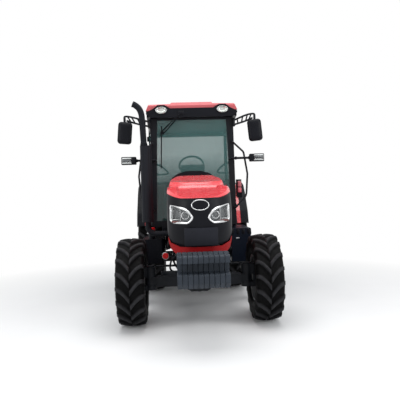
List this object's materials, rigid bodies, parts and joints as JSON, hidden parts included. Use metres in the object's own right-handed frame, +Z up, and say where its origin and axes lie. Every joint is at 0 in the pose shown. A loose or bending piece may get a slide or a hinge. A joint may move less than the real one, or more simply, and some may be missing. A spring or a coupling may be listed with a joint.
{
  "type": "farm tractor",
  "caption": "Compact four-wheel-drive farm tractor with glazed cab, lifting hood, opening doors, steered front axle, front weights and rear three-point hitch.",
  "frame": {"origin": "on the ground, at the middle of the tractor's length and width", "axes": "+Z up, +Y towards the rear, +X towards the tractor's left side"},
  "size_m": [1.95, 4.1299, 2.7],
  "materials": {
    "paint_red": "glossy red paint",
    "roof_red": "satin red moulded shell",
    "mask_black": "satin charcoal moulding",
    "trim_black": "matt black moulding",
    "frame_black": "satin black paint",
    "cast_dark": "dark painted casting",
    "weight_slate": "slate painted casting",
    "rim_grey": "grey painted steel",
    "tyre": "black tyre",
    "tinted_glass": "tinted safety glass",
    "lamp_glass": "clear lamp cover",
    "lamp_chrome": "chromed bezel",
    "lamp_body": "lamp with chromed reflector",
    "lamp_red": "red lamp cover in a black housing",
    "cap_red": "red screw cap",
    "exhaust_black": "heat-proof black paint",
    "rod_steel": "ground steel rod",
    "seat_fabric": "dark seat cover",
    "wheel_black": "soft black grip"
  },
  "bodies": {
    "chassis": {"front_axle": "cast_dark", "front_support": "cast_dark", "radiator": "frame_black", "engine_block": "cast_dark", "gearbox": "cast_dark", "rear_axle": "cast_dark", "front_weights": "weight_slate", "valance": "paint_red", "scuttle": "trim_black", "cab_front_frame": "frame_black", "windscreen": "tinted_glass", "cab_floor": "frame_black", "cab_rear_frame": "frame_black", "rear_glazing": "tinted_glass", "headliner": "trim_black", "roof_shell": "roof_red", "work_lamps": "lamp_body", "rear_fenders": "paint_red", "fender_flares": "trim_black", "fender_lamps": "lamp_red", "fuel_tank": "trim_black", "fuel_cap": "cap_red", "battery_box": "trim_black", "steps": "frame_black", "muffler": "exhaust_black", "exhaust_pipe": "exhaust_black", "mirror_heads": "trim_black", "mirror_arms": "frame_black", "side_lamps": "lamp_body", "grab_rails": "frame_black", "oil_filter": "cap_red", "steering_column": "trim_black", "steering_wheel": "wheel_black", "seat_base": "frame_black", "seat_cushions": "seat_fabric"},
    "hood": {"hood_shell": "paint_red", "hood_mask": "mask_black", "headlamp_lenses": "lamp_glass", "headlamp_bezels": "lamp_chrome"},
    "door_left": {"door_frame_left": "frame_black", "door_glass_left": "tinted_glass"},
    "door_right": {"door_frame_right": "frame_black", "door_glass_right": "tinted_glass"},
    "knuckle_left": {"knuckle_left": "cast_dark"},
    "knuckle_right": {"knuckle_right": "cast_dark"},
    "steering_rod": {"steering_rod": "rod_steel"},
    "wheel_front_left": {"rim_front_left": "rim_grey", "tyre_front_left": "tyre"},
    "wheel_front_right": {"rim_front_right": "rim_grey", "tyre_front_right": "tyre"},
    "wheel_rear_left": {"rim_rear_left": "rim_grey", "tyre_rear_left": "tyre"},
    "wheel_rear_right": {"rim_rear_right": "rim_grey", "tyre_rear_right": "tyre"},
    "lower_links": {"lower_links": "frame_black"},
    "lift_arms": {"lift_arms": "frame_black"},
    "lift_rods": {"lift_rods": "rod_steel"}
  },
  "joints": [
    {"name": "hood_lift", "type": "hinge", "parent": "chassis", "child": "hood", "pos_m": [0, -0.235, 1.7], "axis": [-1, 0, 0], "range_deg": [0, 50]},
    {"name": "door_left_hinge", "type": "hinge", "parent": "chassis", "child": "door_left", "pos_m": [0.632, 0.741, 1.75], "axis": [0, 0, 1], "range_deg": [0, 72]},
    {"name": "door_right_hinge", "type": "hinge", "parent": "chassis", "child": "door_right", "pos_m": [-0.632, 0.741, 1.75], "axis": [0, 0, -1], "range_deg": [0, 72]},
    {"name": "steer_left", "type": "hinge", "parent": "chassis", "child": "knuckle_left", "pos_m": [0.565, -0.865, 0.5], "axis": [0, 0, 1], "range_deg": [-40, 40]},
    {"name": "steer_right", "type": "hinge", "parent": "chassis", "child": "knuckle_right", "pos_m": [-0.565, -0.865, 0.5], "axis": [0, 0, 1], "range_deg": [-40, 40]},
    {"name": "steer_rod_slide", "type": "slide", "parent": "chassis", "child": "steering_rod", "axis": [-1, 0, 0], "range_m": [-0.13, 0.13]},
    {"name": "spin_front_left", "type": "hinge", "parent": "knuckle_left", "child": "wheel_front_left", "pos_m": [0.7655, -0.865, 0.5], "axis": [1, 0, 0], "continuous": true},
    {"name": "spin_front_right", "type": "hinge", "parent": "knuckle_right", "child": "wheel_front_right", "pos_m": [-0.7655, -0.865, 0.5], "axis": [1, 0, 0], "continuous": true},
    {"name": "spin_rear_left", "type": "hinge", "parent": "chassis", "child": "wheel_rear_left", "pos_m": [0.63, 1.265, 0.74], "axis": [1, 0, 0], "continuous": true},
    {"name": "spin_rear_right", "type": "hinge", "parent": "chassis", "child": "wheel_rear_right", "pos_m": [-0.63, 1.265, 0.74], "axis": [1, 0, 0], "continuous": true},
    {"name": "link_lift", "type": "hinge", "parent": "chassis", "child": "lower_links", "pos_m": [0, 1.325, 0.47], "axis": [1, 0, 0], "range_deg": [-8, 34]},
    {"name": "arm_lift", "type": "hinge", "parent": "chassis", "child": "lift_arms", "pos_m": [0, 1.335, 0.93], "axis": [1, 0, 0], "range_deg": [-9, 37]},
    {"name": "rod_swing", "type": "hinge", "parent": "lift_arms", "child": "lift_rods", "pos_m": [0, 1.615, 0.88], "axis": [-1, 0, 0], "range_deg": [-9, 37]}
  ],
  "couplings": [
    {"joint": "steer_right", "follows": "steer_left", "ratio": 1},
    {"joint": "steer_rod_slide", "follows": "steer_left", "m_per_rad": 0.18},
    {"joint": "arm_lift", "follows": "link_lift", "ratio": 1.0357},
    {"joint": "rod_swing", "follows": "link_lift", "ratio": 1.0357}
  ]
}
